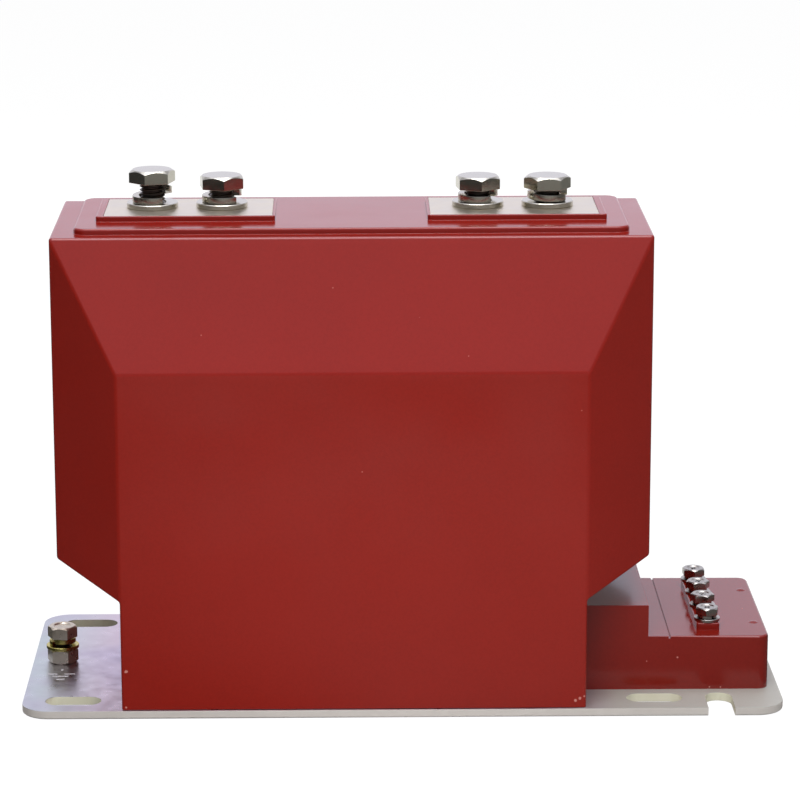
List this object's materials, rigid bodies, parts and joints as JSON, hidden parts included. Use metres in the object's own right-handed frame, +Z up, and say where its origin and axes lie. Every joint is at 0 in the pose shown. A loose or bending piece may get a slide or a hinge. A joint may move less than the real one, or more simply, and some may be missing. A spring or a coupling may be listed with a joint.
{
  "type": "indoor current transformer",
  "caption": "Post-type indoor current transformer cast in red epoxy on a zinc-plated steel plate, with bolted primary terminals on top and a low secondary terminal deck.",
  "frame": {"origin": "centre of the mounting plate's underside", "axes": "+X along the plate towards the secondary terminals, -Y the front, +Z up"},
  "size_m": [0.353, 0.15, 0.2436],
  "materials": {
    "cast_resin": "satin gloss",
    "zinc_plate": "zinc plated",
    "tinned_copper": "tin plated copper",
    "bright_steel": "bright",
    "yellow_zinc": "yellow zinc",
    "copper": "bare copper",
    "core_steel": "strip steel",
    "insert_brass": "turned"
  },
  "bodies": {
    "root": {"resin_body": "cast_resin", "base_plate": "zinc_plate", "earth_flat_washer": "zinc_plate", "primary_terminal_p1": "tinned_copper", "primary_terminal_p2": "tinned_copper", "primary_bolt_1": "bright_steel", "primary_bolt_2": "bright_steel", "primary_bolt_3": "bright_steel", "primary_bolt_4": "bright_steel", "primary_spring_washer_1": "bright_steel", "primary_spring_washer_2": "bright_steel", "primary_spring_washer_3": "bright_steel", "primary_spring_washer_4": "bright_steel", "primary_flat_washer_1": "bright_steel", "primary_flat_washer_2": "bright_steel", "primary_flat_washer_3": "bright_steel", "primary_flat_washer_4": "bright_steel", "secondary_screw_1": "bright_steel", "secondary_screw_2": "bright_steel", "secondary_screw_3": "bright_steel", "secondary_screw_4": "bright_steel", "secondary_spring_washer_1": "bright_steel", "secondary_spring_washer_2": "bright_steel", "secondary_spring_washer_3": "bright_steel", "secondary_spring_washer_4": "bright_steel", "secondary_flat_washer_1": "bright_steel", "secondary_flat_washer_2": "bright_steel", "secondary_flat_washer_3": "bright_steel", "secondary_flat_washer_4": "bright_steel", "base_screw_1": "bright_steel", "base_screw_2": "bright_steel", "base_screw_3": "bright_steel", "base_screw_4": "bright_steel", "earth_screw": "yellow_zinc", "earth_spring_washer": "yellow_zinc", "earth_nut": "yellow_zinc", "primary_conductor": "copper", "measuring_winding": "copper", "protection_winding": "copper", "measuring_core": "core_steel", "protection_core": "core_steel", "secondary_insert_1": "insert_brass", "secondary_insert_2": "insert_brass", "secondary_insert_3": "insert_brass", "secondary_insert_4": "insert_brass", "body_insert_1": "insert_brass", "body_insert_2": "insert_brass", "body_insert_3": "insert_brass", "body_insert_4": "insert_brass"}
  },
  "joints": []
}
